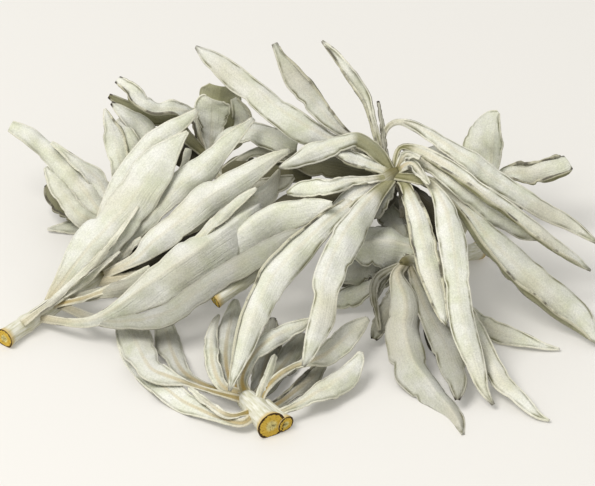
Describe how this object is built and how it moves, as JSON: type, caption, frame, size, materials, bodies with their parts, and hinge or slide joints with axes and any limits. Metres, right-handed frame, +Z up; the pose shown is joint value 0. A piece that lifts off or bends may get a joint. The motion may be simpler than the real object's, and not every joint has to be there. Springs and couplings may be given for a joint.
{
  "type": "sage bunch",
  "caption": "Loose heap of cut and dried white sage, with long felted silver-green leaves that curl along their margins on pale woody stems",
  "frame": {"origin": "On the surface that the bunch lies on, under the middle of its outline", "axes": "+Z up, +X to the right and +Y away for someone who looks at the cut end of the front stem"},
  "size_m": [0.2003, 0.1421, 0.0773],
  "materials": {
    "dried_sage": "matte felted leaf"
  },
  "bodies": {
    "root": {"leafy_stem_left": "dried_sage", "leafy_stem_front": "dried_sage", "leafy_stem_top": "dried_sage", "leafy_stem_right": "dried_sage", "leafy_stem_back_left": "dried_sage", "leafy_stem_back_middle": "dried_sage", "leafy_stem_back_right": "dried_sage"}
  },
  "joints": []
}
